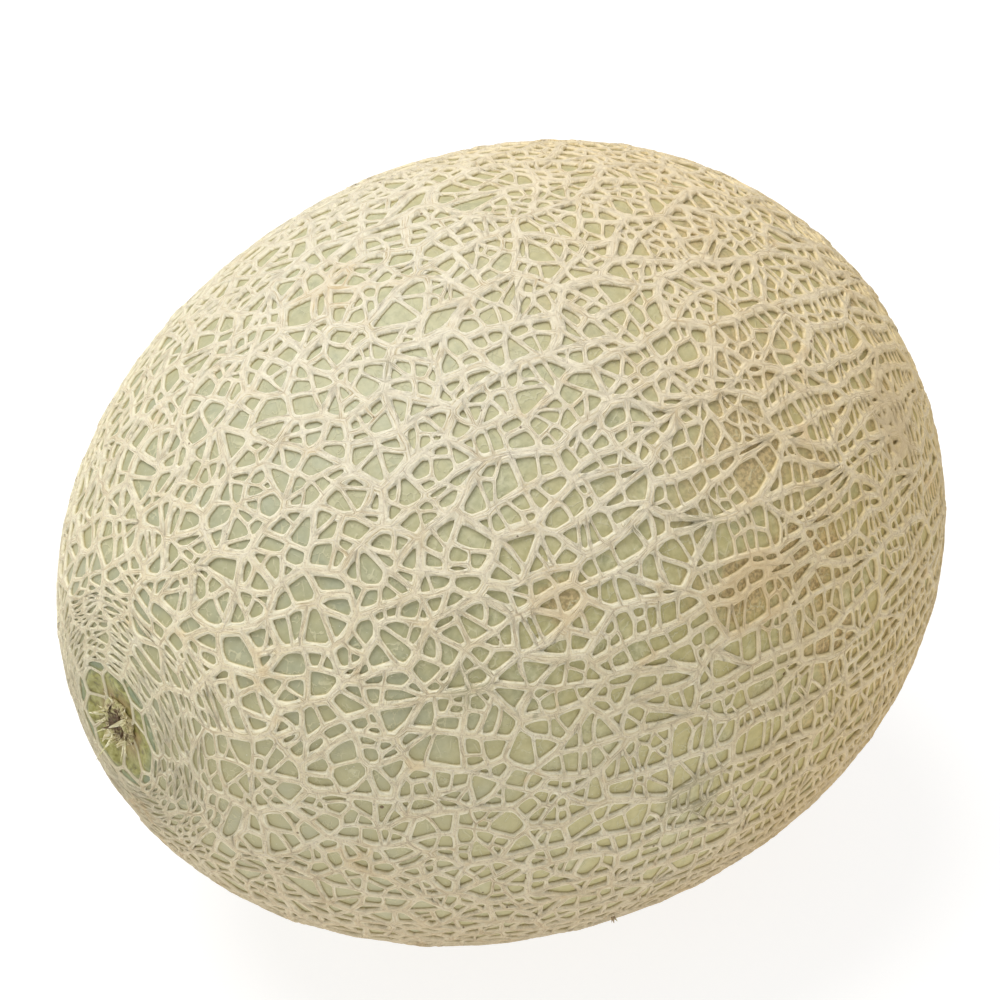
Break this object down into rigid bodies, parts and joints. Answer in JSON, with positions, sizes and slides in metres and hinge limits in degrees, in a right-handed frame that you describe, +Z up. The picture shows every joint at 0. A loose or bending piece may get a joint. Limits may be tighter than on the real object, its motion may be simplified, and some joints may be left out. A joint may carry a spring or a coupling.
{
  "type": "cantaloupe melon",
  "caption": "Whole netted cantaloupe melon lying on its side, with a round stalk scar and a torn stalk remnant at one end.",
  "frame": {"origin": "middle of the bottom of the melon's box, on the plane of its flat rest spot", "axes": "+X along the melon from the stalk scar to the blossom end, +Z up from the rest spot"},
  "size_m": [0.1804, 0.1496, 0.148],
  "materials": {
    "rind": "satin waxy green skin under a dry matt corky net",
    "cork_net": "dry matt cork",
    "scar": "satin bare skin",
    "stalk_fibre": "dry torn plant fibre"
  },
  "bodies": {
    "root": {"fruit": "rind", "stem_remnant": "stalk_fibre"}
  },
  "joints": []
}
